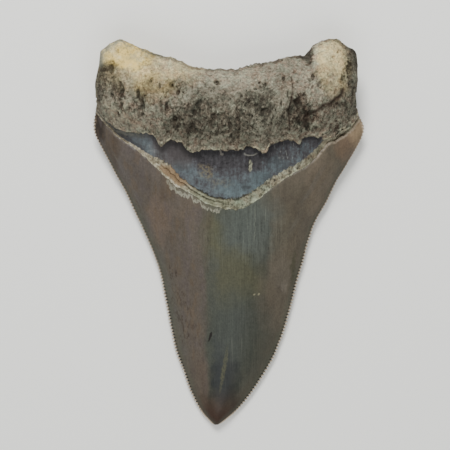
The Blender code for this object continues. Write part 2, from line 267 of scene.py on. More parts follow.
def between(low, high, shares, t, level):
    """Points t of the way from one seam to the next, with both ends on the outline."""
    row = (1 - t) * low.at(shares) + t * high.at(shares)
    for side, weight in ((LEFT, 1 - shares), (RIGHT, shares)):
        row = row + weight[:, None] * (rim(side, level) - (1 - t) * low.at(side) - t * high.at(side))
    return row


def crown_plan(margin, shares, level):
    """Rows that are straight near the tip and bend like the enamel's edge farther up."""
    chord = (1 - shares)[:, None] * rim(LEFT, level) + shares[:, None] * rim(RIGHT, level)
    return chord + level * (between(tip, margin, shares, level, level) - chord)


def lingual_plan(shares, level):
    """A lingual row seen from above. The root's lip overhangs a little."""
    if level <= 1:
        return crown_plan(enamel, shares, level)
    if level <= 2:
        row = between(enamel, root_seam, shares, level - 1, level)
        inward = np.minimum(1, SEAM_FADE * np.minimum(shares, 1 - shares))
        row[:, 1] += LIP_TUCK * inward * max(0, 1 - abs(level - LIP_LEVEL) / LIP_SPAN)
        return row
    return between(root_seam, top, shares, level - 2, level)


def labial_plan(shares, level):
    """A labial row, without a bourlette."""
    if level <= 1:
        return crown_plan(labial, shares, level)
    return between(labial, top, shares, root_share(level), level)


def root_relief(row):
    """Lumps and hollows of the root's weathered face."""
    height = np.zeros(len(row))
    for k, (x, y) in enumerate(row):
        lumps = noise.noise(Vector((x / LUMP_SIZE, y / LUMP_SIZE, 3.7)))
        lumps += 0.5 * noise.noise(Vector((2 * x / LUMP_SIZE, 2 * y / LUMP_SIZE, 8.1)))
        height[k] = LUMP_HEIGHT * lumps
    for at_x, at_y, radius, depth in ROOT_HOLLOWS:
        near = ((row[:, 0] - at_x) ** 2 + (row[:, 1] - at_y) ** 2) / radius**2
        height -= depth * np.exp(-HOLLOW_SOFTNESS * near)
    return height


def lingual_height(shares, level, row):
    """The lingual face's height: a domed crown, a hollow bourlette and a bulging root."""
    s = np.abs(2 * shares - 1)
    inward = np.minimum(1, SEAM_FADE * (1 - s))
    edge = rim_height(level)
    spine = math.sin(0.5 * math.pi * min(level, 1)) ** SPINE_POWER
    crown = CROWN_HEIGHT_AT_TIP + (CROWN_HEIGHT - CROWN_HEIGHT_AT_TIP) * spine
    crown = edge + (crown - edge) * math.sqrt(1 - max(0, 1 - level / TIP_ROUND) ** 2)
    if level <= 1:
        dome = 1 - s ** (CROWN_DOME + CROWN_DOME_GAIN * level)
        return edge + (crown - edge) * dome ** (1 - CROWN_DOME_SOFTENING * level**4)
    if level < 2:
        t = level - 1
        dome = (1 - s ** (BOURLETTE_DOME + BOURLETTE_DOME_GAIN * t)) ** BOURLETTE_DOME_POWER
        bourlette = crown + BOURLETTE_RISE * t - BOURLETTE_HOLLOW * math.sin(math.pi * t)
        step = ENAMEL_STEP * ramp(t, 0, ENAMEL_STEP_SHARE)
        lip = LIP_RISE * ROOT_STEP * max(0, (level - LIP_LEVEL) / LIP_SPAN)
        return edge + (bourlette - edge) * dome - (step - lip) * inward
    t = level - 2
    step = ROOT_STEP * (BROW_START + (1 - BROW_START) * ramp(t, 0, BROW_SHARE)) - ENAMEL_STEP
    brow = CROWN_HEIGHT + BOURLETTE_RISE + step * inward
    bulge = brow + (ROOT_BULGE - brow) * ramp(t, *ROOT_SWELLS) - LOBE_DROP * ramp(s, LOBES_START, 1)
    low_down = 1 - ramp(t, 0, LOW_ROOT)
    side_power = ROOT_SIDE_POWER + ROOT_SIDE_POWER_GAIN * low_down
    beside = (1 - s ** (ROOT_DOME - ROOT_DOME_LOSS * low_down)) ** side_power
    above = (1 - max(0, (t - CREST_START) / (1 - CREST_START)) ** CREST_ROUNDNESS) ** CREST_POWER
    fade = np.minimum(1, LUMP_FADE_BESIDE * (1 - s)) * min(1, LUMP_FADE_BELOW_CREST * (1 - t))
    return edge + (bulge - edge) * beside * above + fade * root_relief(row)


def labial_height(shares, level, row):
    """The labial face's height: flat where it rests, rounding up to the outline."""
    s = np.abs(2 * shares - 1)
    t = root_share(level)
    reach = REST_REACH + REST_REACH_GAIN * ramp(t, 0, REST_GAIN_SHARE)
    beside = np.maximum(0, (s - reach) / (1 - reach))
    above = max(0, (t - REST_TOP) / (1 - REST_TOP))
    near = np.minimum(1, (beside**3 + above**3) ** (1 / 3))
    round_share = ramp(t, 0, ROUND_FROM)
    rise = round_share * (1 - np.sqrt(1 - near**2)) + (1 - round_share) * near**2
    dish = ramp(DISH_REACH - s, 0, DISH_FADE) * ramp(row[:, 1], *DISH_STARTS) * (1 - ramp(t, *DISH_ENDS))
    lift = TIP_LIFT * max(0, 1 - level / TIP_LIFT_SHARE) ** 2 + LABIAL_DISH * dish
    if level > 1:
        lift += LABIAL_STEP * (1 - ramp(t, *LABIAL_STEP_ENDS)) * np.minimum(1, LABIAL_FADE * (1 - s))
    return rim_height(level) * rise + lift * (1 - near)


class Surface:
    """The tooth's points and faces, and the face, share and level of each point."""

    def __init__(self):
        self.points, self.faces, self.marks = [], [], []

    def row(self, face, shares, level):
        """Adds a row of points; face is 1 on the lingual side, 0 on the labial, 0.5 on the rim."""
        shares = np.atleast_1d(np.asarray(shares, float))
        if face == 0.5:
            side = LEFT if shares[0] < 0.5 else RIGHT
            plan = top.at(shares) if level == TOOTH_TOP else rim(side, level)[None, :]
            height = np.full(len(shares), rim_height(level))
        else:
            plan = (lingual_plan if face else labial_plan)(shares, level)
            height = (lingual_height if face else labial_height)(shares, level, plan)
        first = len(self.points)
        self.points.extend(np.column_stack([plan, height]).tolist())
        self.marks.extend([face, share, level] for share in shares)
        return list(range(first, first + len(shares)))

    def strip(self, lower, upper):
        """Joins two runs of points, by quads where their counts match, or by triangles."""
        if len(lower) == len(upper):
            quads = (tuple(dict.fromkeys(quad)) for quad in zip(lower, lower[1:], upper[1:], upper))
            self.faces.extend(quad for quad in quads if len(quad) > 2)
            return
        i, j = 0, 0
        while i < len(lower) - 1 or j < len(upper) - 1:
            lower_is_behind = (i + 1) * max(len(upper) - 1, 1) <= (j + 1) * max(len(lower) - 1, 1)
            if j == len(upper) - 1 or (i < len(lower) - 1 and lower_is_behind):
                face = (lower[i], lower[i + 1], upper[j])
                i += 1
            else:
                face = (lower[i], upper[j + 1], upper[j])
                j += 1
            if len(set(face)) == 3:
                self.faces.append(face)


def column_shares(columns, strip):
    """Spreads a row's inner columns, and leaves a strip beside each edge."""
    even = np.linspace(0, 1, columns - 1)
    rounded = 0.5 - 0.5 * np.cos(math.pi * even)
    return strip + (1 - 2 * strip) * ((1 - SIDE_CROWDING) * even + SIDE_CROWDING * rounded)


def row_width(level):
    return rim(RIGHT, level)[0] - rim(LEFT, level)[0]


def strip_share(distance, level):
    """The share of a row within this distance of its edge, less in a short row."""
    return min(distance / row_width(level), WIDEST_STRIP * distance / EDGE_STRIP)


surface = Surface()
all_levels = CROWN_LEVELS + LOWER_BOURLETTE_LEVELS + UPPER_BOURLETTE_LEVELS + LIP_LEVELS + ROOT_LEVELS
tip_point = surface.row(0.5, 0, 0)
fine_levels = {}
for side in (LEFT, RIGHT):
    levels_between = []
    for low, high in zip([0, *all_levels], all_levels):
        steps = max(1, round((high - low) * edges[side].length / EDGE_STEP)) if high <= 1 else 1
        levels_between.append([low + (high - low) * k / steps for k in range(1, steps + 1)])
    fine_levels[side] = levels_between
crest = surface.row(0.5, column_shares(ROOT_COLUMNS, strip_share(EDGE_STRIP, TOOTH_TOP)), TOOTH_TOP)
rims = {}
for side in (LEFT, RIGHT):
    steps_up = [[surface.row(0.5, side, level)[0] for level in step] for step in fine_levels[side]]
    rims[side] = [tip_point, *steps_up]

for face in (1, 0):
    # The edge strips: a few narrow columns beside each cutting edge, at the fine rows.
    strip_ends, strip_tops = {}, {}
    for side in (LEFT, RIGHT):
        outer = rims[side]
        strip_tops[side] = [outer[-1][-1]]
        for distance in STRIP_DISTANCES:
            inner = [tip_point]
            for step in fine_levels[side]:
                column = []
                for level in step:
                    share = strip_share(distance, level)
                    column.append(surface.row(face, share if side == LEFT else 1 - share, level)[0])
                inner.append(column)
            for k in range(1, len(inner)):
                surface.strip([outer[k - 1][-1], *outer[k]], [inner[k - 1][-1], *inner[k]])
            outer = inner
            strip_tops[side].append(outer[-1][-1])
        strip_ends[side] = outer
    # The rest of the face, in rows that are coarser on the smooth crown than on the root.
    rows = [tip_point]
    for level in all_levels:
        columns = LABIAL_COLUMNS
        if face:
            columns = ROOT_COLUMNS if level > 1 else CROWN_COLUMNS
        shares = column_shares(columns, strip_share(EDGE_STRIP, level))
        rows.append(surface.row(face, shares, level))
    for k in range(1, len(rows)):
        surface.strip(rows[k - 1], rows[k])
        for side, end in ((LEFT, 0), (RIGHT, -1)):
            fine = [strip_ends[side][k - 1][-1], *strip_ends[side][k]]
            surface.strip(fine, [rows[k - 1][end], rows[k][end]])
    below_crest = [*strip_tops[LEFT], *rows[-1], *reversed(strip_tops[RIGHT])]
    surface.strip(below_crest, [rims[LEFT][-1][-1], *crest, rims[RIGHT][-1][-1]])

points, marks = np.array(surface.points), np.array(surface.marks)

# How far each point lies from the seams and the cutting edge, for the relief and the finish.
SEAM_REACH = 12.0
BATCH = 4000  # points measured at once
RUN_STEP = 0.004  # of a cutting edge, to find which way it runs
LABIAL_BAND = 0.5
BAND_WIDTHS = [
    (-38, 0.35), (-30, 0.4), (-26, 0.7), (-22, 1.2), (-19.5, 2.1), (-16.5, 3.2), (-13, 2.6), (-10.5, 2),
    (-5, 2.4), (0, 3), (4, 3), (9, 2.4), (15, 2), (21, 1.9), (25, 1.5), (29, 0.9), (33, 0.6),
    (37, 0.45)]


def distance_to(seam, plan):
    """How far each point is from a seam, up to a reach past which it doesn't matter."""
    far = np.full(len(plan), SEAM_REACH)
    for start in range(0, len(plan), BATCH):
        part = plan[start:start + BATCH]
        squared = (part[:, :1] - seam.line[:, 0]) ** 2 + (part[:, 1:] - seam.line[:, 1]) ** 2
        far[start:start + BATCH] = np.minimum(SEAM_REACH, np.sqrt(squared.min(axis=1)))
    return far


plan = points[:, :2]
face_side, share, level = marks.T
on_lingual = face_side > 0
enamel_gap = np.where(on_lingual, distance_to(enamel, plan), distance_to(labial, plan))
enamel_gap *= np.where(level <= 1, 1, -1)
root_gap = np.where(on_lingual, distance_to(root_seam, plan) * np.where(level >= 2, 1, -1), -enamel_gap)
band_width = np.interp(plan[:, 0], *zip(*BAND_WIDTHS))
band_share = -enamel_gap / np.where(on_lingual, band_width, LABIAL_BAND)
widths = np.array([row_width(min(max(at, 0.02), 2.99)) for at in level])
top_gap = distance_to(top, plan)
edge_gap = np.where(level <= 1, np.minimum(share, 1 - share) * widths, SEAM_REACH)
side_index = np.where(share < 0.5, LEFT, RIGHT)
edge_run = np.minimum(level, 1) * np.array([edges[LEFT].length, edges[RIGHT].length])[side_index]
edge_out = np.zeros((len(points), 3))
for k in np.flatnonzero(edge_gap < EDGE_STRIP):
    side = side_index[k]
    run = rim(side, min(level[k] + RUN_STEP, 1)) - rim(side, max(level[k] - RUN_STEP, 0))
    outward = np.array([-run[1], run[0]]) * (1 if side == LEFT else -1)
    edge_out[k, :2] = outward / max(np.linalg.norm(outward), 1e-6)

# The root's larger pits, each an oval's place, reach and depth, a little narrower and longer than
# written, and its cracks, each a path and a width.
PIT_STRETCH = 0.68, 1.15
PIT_FLATNESS = 1.5
PITS = [
    (-3.1, 41.2, 0.9, 0.55, 1), (-21, 42, 0.5, 0.9, 0.8), (-18.8, 40.4, 0.45, 0.9, 0.9),
    (-24, 43.1, 0.4, 0.5, 0.6), (-24.8, 38, 0.9, 1.7, 0.8), (-23.6, 34.9, 0.8, 1.6, 1),
    (-29.7, 40.9, 0.9, 0.9, 0.7), (-29.5, 38.4, 1.3, 1.3, 0.8), (-29.7, 34.6, 0.8, 1.8, 0.8),
    (-27.3, 34.9, 0.5, 1.1, 0.6), (-18.5, 35.1, 0.6, 0.9, 0.7), (-17, 34.6, 0.8, 1.1, 0.8),
    (-15.4, 40.4, 0.9, 0.6, 0.7), (-13.8, 38.4, 1, 0.8, 0.8), (-8.3, 34.9, 1.1, 0.7, 1),
    (-9, 32.9, 0.8, 0.9, 0.8), (-14.6, 31, 0.9, 0.8, 0.9), (-4, 31.8, 1.3, 0.9, 0.9),
    (0.5, 29.1, 1, 1.2, 0.8), (5.5, 36, 1.1, 0.8, 0.8), (9.2, 32.7, 1, 1, 1),
    (8.6, 41.2, 0.9, 0.5, 0.7), (10.1, 40.8, 0.5, 0.5, 0.7), (15.1, 42.3, 0.8, 0.9, 0.8),
    (16.2, 37.9, 0.5, 1, 0.8), (14.5, 35.4, 0.5, 0.9, 0.8), (18.9, 35.9, 1.3, 1.1, 1),
    (23.3, 42.8, 0.9, 0.9, 0.9), (22.5, 41.8, 0.6, 0.5, 0.8), (22, 29.6, 1, 1.4, 1),
    (31.9, 42.3, 1.4, 1.5, 0.7), (33.5, 47, 0.9, 0.9, 0.7), (-22.6, 48.5, 0.7, 0.5, 0.6),
    (-32.5, 45.8, 1.4, 1, 0.5), (5.6, 23.4, 2, 0.6, 0.8), (25.5, 41, 0.4, 0.6, 0.5)]
CRACKS = [
    ([(31.9, 39.5), (31, 37.6), (29.6, 36.9), (28.3, 35.4), (26.2, 35), (24.6, 33.6), (21.1, 31.6)], 0.55),
    ([(17.3, 42.6), (17.6, 38), (16.7, 33), (16.9, 28.3)], 0.22)]
pits = np.zeros(len(points))
for at_x, at_y, reach_x, reach_y, strength in PITS:
    off = (plan - (at_x, at_y)) / np.multiply(PIT_STRETCH, (reach_x, reach_y))
    pits = np.maximum(pits, strength * np.exp(-((off**2).sum(axis=1) ** PIT_FLATNESS)))
cracks = np.zeros(len(points))
for path, width in CRACKS:
    cracks = np.maximum(cracks, np.exp(-((distance_to(Run(path), plan) / width) ** 2)))
pits, cracks = pits * on_lingual, cracks * on_lingual

low, high = points.min(axis=0), points.max(axis=0)
foot = np.array([(low[0] + high[0]) / 2, (low[1] + high[1]) / 2, low[2]])
cad_low, cad_high = np.array(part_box("megalodon_tooth"))
scale = (cad_high[1] - cad_low[1]) / (high[1] - low[1]) / MM

form = bpy.data.meshes.new("tooth_form")
form.from_pydata((MM * scale * (points - foot)).tolist(), [], surface.faces)
for name, values in (("enamel_gap", enamel_gap), ("root_gap", root_gap), ("band_share", band_share),
                     ("edge_gap", edge_gap), ("edge_run", edge_run), ("lingual", face_side),
                     ("top_gap", top_gap), ("pits", pits), ("cracks", cracks)):
    form.attributes.new(name, "FLOAT", "POINT").data.foreach_set("value", values.astype(np.float32))
edge_ways = form.attributes.new("edge_out", "FLOAT_VECTOR", "POINT")
edge_ways.data.foreach_set("vector", edge_out.astype(np.float32).ravel())
shaped = bmesh.new()
shaped.from_mesh(form)
bmesh.ops.recalc_face_normals(shaped, faces=shaped.faces)
shaped.to_mesh(form)
shaped.free()
form.shade_smooth()


# ---- The tooth's relief -----------------------------------------------------------------------
# What weather and wear left on the one piece: pores, pits and cracks in the bony root, ridges of
# its fibres, and the serrations along both cutting edges. They are part of the same surface.

RELIEF_SIZES = {
    "Lump Spread": 3.4, "Lump Rise": 0.36, "Grain Spread": 1.2, "Grain Rise": 0.26, "Fibre Rise": 0.3,
    "Crevice Spread": 1.3, "Crevice Depth": 0.46, "Pore Spread": 0.72, "Pore Depth": 0.3,
    "Pit Depth": 0.55, "Serration Pitch": 0.93, "Serration Depth": 0.72, "Band Grain": 0.2}
SERRATION_MIDDLE = 0.42
OPENING = 0.655, 0.72  # how strong the noise is from a hole's rim to its floor
# Where the root is worn and full of crevices: strength, place and reach.
WORN = [
    (0.55, -31.1, 39.7, 3.6, 3), (0.5, -29.8, 35, 1.8, 2.8), (0.65, -24.5, 36.2, 2.3, 4),
    (0.5, -17.7, 35, 2.4, 2.6), (0.4, -14.5, 39.5, 3.2, 2.6), (0.55, -14.1, 30.2, 2.8, 4),
    (0.7, -7.8, 33.8, 4.6, 3), (0.7, -5, 29.4, 6.5, 3.6), (0.75, 6.5, 35.1, 5.6, 3.4),
    (0.7, 1.5, 29.6, 5, 3.6), (0.45, 8.2, 41, 3.2, 1.8), (0.5, 9.3, 31.5, 3.4, 3.2),
    (0.35, 15, 30.5, 3.2, 3.4), (0.85, 19.2, 33.4, 2.6, 4.6), (0.7, 22.2, 29.9, 2.6, 3),
    (0.4, 29, 31.8, 5.6, 4.6), (0.5, 32.6, 42.6, 2.4, 2.8), (0.55, 33.8, 48.5, 1.8, 3.6),
    (0.4, 34.4, 36.5, 2, 4), (0.4, -35.4, 41.5, 1.6, 5)]


def both_ways(operation):
    """An operator's two methods: for a wire on its left, and on its right."""
    return (lambda wire, other: wire.math(operation, wire, other),
            lambda wire, other: wire.math(operation, other, wire))


class Wire:
    """A socket in a node tree. Sums are written as in Python and become Math nodes."""

    def __init__(self, tree, socket=None):
        self.tree, self.socket = tree, socket

    def make(self, kind, values=(), out=0, **settings):
        """Adds a node: its settings first, then the values or links of its sockets."""
        node = self.tree.nodes.new(kind)
        for name, setting in settings.items():
            if name == "stops":
                for k, (at, colour) in enumerate(setting):
                    stop = node.color_ramp.elements[k] if k < 2 else node.color_ramp.elements.new(at)
                    stop.position, stop.color = at, colour
            else:
                setattr(node, name, setting)
        for key, value in dict(values).items():
            if isinstance(value, Wire):
                self.tree.links.new(value.socket, node.inputs[key])
            else:
                node.inputs[key].default_value = value
        return Wire(self.tree, node.outputs[out])

    def math(self, operation, *values):
        return self.make("ShaderNodeMath", enumerate(values), operation=operation)

    __add__, __radd__ = both_ways("ADD")
    __sub__, __rsub__ = both_ways("SUBTRACT")
    __mul__, __rmul__ = both_ways("MULTIPLY")
    __truediv__, __rtruediv__ = both_ways("DIVIDE")
    __pow__, __rpow__ = both_ways("POWER")

    def ramp(self, low, high, at_low=0.0, at_high=1.0):
        """A smooth change from at_low to at_high as this goes from low to high."""
        values = {"Value": self, "From Min": low, "From Max": high, "To Min": at_low, "To Max": at_high}
        return self.make("ShaderNodeMapRange", values, interpolation_type="SMOOTHSTEP")

    def vector(self, operation, *values):
        return self.make("ShaderNodeVectorMath", enumerate([self, *values]), operation=operation)

    def scaled(self, by):
        """This vector made longer or shorter."""
        return self.make("ShaderNodeVectorMath", {0: self, "Scale": by}, operation="SCALE")

    def xyz(self):
        """The three numbers of a vector."""
        return [self.make("ShaderNodeSeparateXYZ", {0: self}, out=k) for k in range(3)]

    def noise(self, size, detail=2, roughness=0.5, stretch=(1, 1, 1)):
        """Noise with grains this many millimetres across, around the place on this wire."""
        place = self.vector("DIVIDE", stretch).scaled(1 / size)
        values = {"Vector": place, "Scale": 1.0, "Detail": detail, "Roughness": roughness}
        return self.make("ShaderNodeTexNoise", values)

    def warped(self, size, by):
        """This place, pushed about by noise of this size."""
        values = {"Vector": self.scaled(1 / size), "Scale": 1.0, "Detail": 3.0}
        push = self.make("ShaderNodeTexNoise", values, out=1).vector("SUBTRACT", (0.5, 0.5, 0.5))
        return self.vector("ADD", push.scaled(2 * by))

    def cells(self, size, out, seed=0.0):
        """Cells this many millimetres apart: how far their middles are, or their colours."""
        place = self.vector("ADD", (seed, 2 * seed, 0)).scaled(1 / size)
        return self.make("ShaderNodeTexVoronoi", {"Vector": place, "Scale": 1.0}, out=out)

    def mix(self, low, high, blend="MIX"):
        """The low colour where this is 0 and the high one where it is 1."""
        values = {0: self, 6: low, 7: high}
        return self.make("ShaderNodeMix", values, out=2, data_type="RGBA", blend_type=blend)


relief = bpy.data.node_groups.new("tooth_relief", "GeometryNodeTree")
relief.interface.new_socket("Geometry", in_out="OUTPUT", socket_type="NodeSocketGeometry")
relief.interface.new_socket("Geometry", in_out="INPUT", socket_type="NodeSocketGeometry")
size_sockets = {name: relief.interface.new_socket(name, in_out="INPUT", socket_type="NodeSocketFloat")
                for name in RELIEF_SIZES}
group_in = relief.nodes.new("NodeGroupInput")
given = {name: Wire(relief, group_in.outputs[name]) for name in RELIEF_SIZES}
pen = Wire(relief)


def stored(name, kind="FLOAT"):
    return pen.make("GeometryNodeInputNamedAttribute", {"Name": name}, data_type=kind)


to_outline = (1 / (MM * scale),) * 3
place = pen.make("GeometryNodeInputPosition").vector("MULTIPLY_ADD", to_outline, tuple(foot))
x, y, _ = place.xyz()
ragged_x, ragged_y, _ = place.warped(3.5, 2.6).xyz()


def spot(at_x, at_y, reach_x, reach_y, soft=0.45):
    """1 inside an oval with a ragged edge and 0 outside it."""
    across = (ragged_x - at_x) / reach_x
    up = (ragged_y - at_y) / reach_y
    return (across * across + up * up).ramp(1 + soft, 1 - soft)


def total(spots, start=0.0):
    """The strengths of several ovals, added up."""
    for strength, *where in spots:
        start += strength * spot(*where)
    return start


facing = stored("lingual")
worn = pen.math("MINIMUM", total(WORN, y.ramp(45, 33, 0.12, 0.34)), 1.05) * facing + 0.3 * (1 - facing)
on_root = stored("root_gap").ramp(0.0, 0.25)
lumps = place.noise(given["Lump Spread"], 3, 0.55) - 0.5
grain = place.noise(given["Grain Spread"], 4, 0.62) - 0.5
bent = place.warped(2.0, 0.9)
holes = bent.noise(given["Crevice Spread"], 3, 0.55, (1, 1.9, 1.5))
crevice = (holes + 0.16 * worn).ramp(*OPENING)
pore = (bent.noise(given["Pore Spread"], 2, stretch=(1, 1.9, 1.4)) + 0.12 * worn).ramp(*OPENING)
cracks = stored("cracks")
pits = stored("pits") + 1.1 * (bent.noise(0.9, 3, stretch=(1, 1.7, 1.2)) - 0.5)
pits = pits.ramp(0.32, 0.66) * stored("pits").ramp(0.04, 0.25)
fibres = (place.noise(1.0, 2, stretch=(1, 6, 3)) - 0.5) * spot(-25, 32.5, 9, 6.5)
bumps = 2.0 * (given["Lump Rise"] * lumps + given["Grain Rise"] * grain + given["Fibre Rise"] * fibres)
sunk = given["Crevice Depth"] * crevice + given["Pore Depth"] * pore + given["Pit Depth"] * pits
root_rise = bumps - sunk - 0.3 * cracks
on_band = stored("band_share").ramp(1.1, 0.85) * stored("band_share").ramp(0.0, 0.06) * facing
band_rise = given["Band Grain"] * 2.0 * (place.noise(0.9, 4, 0.65, (1.6, 1, 1)) - 0.45)
swell = (place.noise(14.0, 1) - 0.5) * 0.22
swell = swell * stored("enamel_gap").ramp(0.4, 4) * stored("edge_gap").ramp(0.5, 5)

edge_run_at = stored("edge_run")
turn = edge_run_at / given["Serration Pitch"] + 0.5 * (place.noise(5.0) - 0.5)
notch = (0.5 + 0.5 * pen.math("COSINE", turn * math.tau)) ** 1.7
sharp = edge_run_at.ramp(4, 12) * edge_run_at.ramp(100, 84, 0.25, 1.0)
sharp = sharp * place.noise(4.0).ramp(0.25, 0.5, 0.55, 1.0)
beside = stored("edge_gap").ramp(1.1, 0.1)
cut = notch * sharp * beside
outward = (SERRATION_MIDDLE - notch) * sharp * beside * given["Serration Depth"] * MM
inward = stored("edge_out", "FLOAT_VECTOR").scaled(outward)
rise = on_root * root_rise + on_band * band_rise + swell - 0.12 * cut
# The face it rests on is only worn inwards, so that it doesn't sink into the table.
rise = pen.math("MINIMUM", rise, 10 * facing)
lift = pen.make("GeometryNodeInputNormal").scaled(rise * MM)
moved = pen.make("GeometryNodeSetPosition", {
    "Geometry": Wire(relief, group_in.outputs["Geometry"]), "Offset": inward.vector("ADD", lift)})
hollow = pen.math("MAXIMUM", pen.math("MAXIMUM", crevice, 0.75 * pore), pen.math("MAXIMUM", pits, cracks))
for name, value in (("hollow", hollow), ("worn", worn), ("bumps", bumps), ("notch", cut), ("pits", pits)):
    moved = pen.make("GeometryNodeStoreNamedAttribute", {"Geometry": moved, "Name": name, "Value": value},
                     data_type="FLOAT", domain="POINT")
moved = pen.make("GeometryNodeRealizeInstances", {"Geometry": moved})
tooth_finish = bpy.data.materials.new("fossil_tooth")
moved = pen.make("GeometryNodeSetMaterial", {"Geometry": moved, "Material": tooth_finish})
group_out = relief.nodes.new("NodeGroupOutput")
relief.links.new(moved.socket, group_out.inputs["Geometry"])


def placed(name, data):
    """A new object in the scene."""
    thing = bpy.data.objects.new(name, data)
    bpy.context.scene.collection.objects.link(thing)
    return thing


blank = placed("tooth_blank", form)
modifier = blank.modifiers.new("relief", "NODES")
modifier.node_group = relief
for name, size in RELIEF_SIZES.items():
    modifier[size_sockets[name].identifier] = size
seen = blank.evaluated_get(bpy.context.evaluated_depsgraph_get())
tooth_mesh = bpy.data.meshes.new_from_object(seen)
blank.modifiers.remove(modifier)
bpy.data.objects.remove(blank)
tooth = placed("fossil_tooth", tooth_mesh)
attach(tooth, "root")
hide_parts("megalodon_tooth")


# ---- The tooth's finish -----------------------------------------------------------------------
# Minerals stained it over a very long time: a matt, sandy, pitted root, a slate bourlette with
# fine grooves, a crumbly cream band along the enamel's upper edge and a satin grey-brown crown.

STONE_ROUGHNESS = 0.56
ENAMEL_POLISH = 0.14
ROOT_ROUGHNESS = 0.92
SHEEN = 0.22

tooth_finish.use_nodes = True
nodes = tooth_finish.node_tree
surface_node = nodes.nodes["Principled BSDF"]
paint = Wire(nodes)
place = paint.make("ShaderNodeTexCoord", out="Object").vector("MULTIPLY_ADD", to_outline, tuple(foot))
x, y, _ = place.xyz()


def felt(name):
    return paint.make("ShaderNodeAttribute", out="Fac", attribute_name=name)


def tone(red, green, blue):
    """A colour given from 0 to 255."""
    return (*((part / 255) ** 2.2 for part in (red, green, blue)), 1)


def graded(shade, *stops):
    """A scale of colours: the darkest and the palest stop are given first."""
    return paint.make("ShaderNodeValToRGB", {0: shade}, stops=[(at, tone(*tint)) for at, tint in stops])


def stained(colour, stains, blend="MIX"):
    """A colour with tints laid over it in turn, each with its own strength."""
    for strength, tint in stains:
        colour = strength.mix(colour, tone(*tint), blend)
    return colour


root_gap, enamel_gap, edge_gap, top_gap = map(felt, ("root_gap", "enamel_gap", "edge_gap", "top_gap"))
band_share, facing, cut, hollow = map(felt, ("band_share", "lingual", "notch", "hollow"))
worn, bumps, cracks, pits = map(felt, ("worn", "bumps", "cracks", "pits"))
mottle = place.noise(2.6, 5, 0.62)
speckle = place.noise(0.8, 4, 0.7)
mottled, speckled = mottle - 0.5, speckle - 0.5
grit = place.cells(0.55, "Color").xyz()[0] - 0.5
tinge = place.noise(5, 4, 0.6)
ragged_x, ragged_y, _ = place.warped(3.5, 2.6).xyz()

# The root, from dark brown in its crevices and pits to pale sandy tan on its lobes.
PALE = [
    (0.42, -28.8, 49.8, 6.8, 4.4, 0.8), (0.24, -17.5, 45.5, 10, 3.6, 0.8), (0.07, 0, 42.8, 14, 2.8),
    (0.34, 28.4, 48.8, 4.6, 5.4, 0.9), (0.12, 30.5, 41.5, 2.2, 4.5, 0.9),
    (0.15, -26.3, 43.6, 4.5, 3.2, 0.9), (0.02, -22, 41, 6, 5), (0.05, 23, 41, 6, 4.5),
    (0.05, -27, 31, 9, 4), (-0.08, 2, 31, 24, 7), (-0.1, -10.5, 31, 5, 3.5), (-0.25, 22, 49.2, 1.6, 2.6),
    (-0.2, -33.6, 45.8, 2.5, 1.8), (0.08, -31, 35.5, 4, 2.5), (-0.08, -4.2, 37.3, 6, 3),
    (-0.18, 35.5, 44, 2, 9), (-0.16, -36, 42, 1.6, 6), (-0.12, -30.5, 39.8, 2.5, 3),
    (-0.13, 19.5, 34.5, 2.5, 4.5), (-0.06, -9.7, 42, 5, 3), (-0.12, 9.3, 37.5, 3, 3),
    (-0.06, 13.7, 41, 5, 4), (-0.09, 32.2, 37, 3, 3.4), (0.08, -14.8, 33.2, 2.6, 2.6),
    (0.1, 23.9, 32, 2, 3), (-0.05, 27.7, 33.5, 2.5, 2.6)]
fine = place.noise(0.4, 3, 0.6, (1, 1.5, 1))
finely = fine - 0.5
grain = 0.26 * mottled + 0.5 * speckled + 0.4 * finely + 0.16 * grit + 0.3 * bumps
paleness = total(PALE, 0.47) + grain - (0.17 + 0.2 * speckled) * hollow - 0.04 * worn
pocks = place.noise(0.62, 3, 0.6, (1, 1.5, 1)).ramp(0.55, 0.66)
flecks = place.noise(0.5, 2, 0.6).ramp(0.6, 0.72)
paleness += 0.17 * flecks - (0.1 + 0.24 * worn) * pocks - 0.12 * pits
dashes = place.noise(0.6, 3, 0.6, (1.7, 1, 1)).ramp(0.56, 0.7)
paleness -= 0.2 * dashes * total([(1, 28, 48, 6, 7), (0.8, -26, 48, 12, 6)])
paleness += root_gap.ramp(0.34, 0.12, 0, 0.26) * place.noise(1.4, 2).ramp(0.44, 0.56)
paleness -= top_gap.ramp(1.7, 0.5, 0, 0.26) * mottle.ramp(0.42, 0.54)
root = graded(paleness, (0.02, (52, 46, 38)), (0.94, (226, 213, 170)), (0.25, (82, 76, 65)),
              (0.48, (126, 119, 103)), (0.7, (172, 163, 136)))
hues = place.noise(1.7, 3, 0.65)
olive = total([(0.6, 0, 34, 16, 9), (0.4, 12, 33, 8, 8), (0.6, -34, 44, 4, 9), (0.6, 34.5, 42, 3, 10)])
yellow = total([(0.6, -28, 49.5, 8, 5), (0.4, -22, 46, 15, 8), (0.45, 29.5, 46, 5, 9),
                (0.25, -21, 40, 6, 4.5)])
root = stained(root, [
    (0.3 * tinge.ramp(0.5, 0.68), (112, 94, 76)),
    (0.4 * hues.ramp(0.51, 0.6), (102, 108, 92)),
    (0.4 * hues.ramp(0.47, 0.38), (118, 94, 78)),
    (0.5 * olive, (98, 97, 84)),
    (yellow * tinge.ramp(0.36, 0.54, 0.55, 1), (218, 190, 116))], "COLOR")
grey_rim = top_gap.ramp(3.4, 1) * x.ramp(-24, -28) + spot(-24, 49.5, 3.5, 2.5, 0.9)
fading = root_gap.ramp(2.4, 0.2) * x.ramp(-21, -26)
root = stained(root, [
    (0.5 * grey_rim * mottle.ramp(0.42, 0.56), (136, 139, 124)),
    (0.85 * cracks * mottle.ramp(0.3, 0.44), (46, 35, 28)),
    (0.45 * fading * mottle.ramp(0.4, 0.54), (84, 86, 78))])
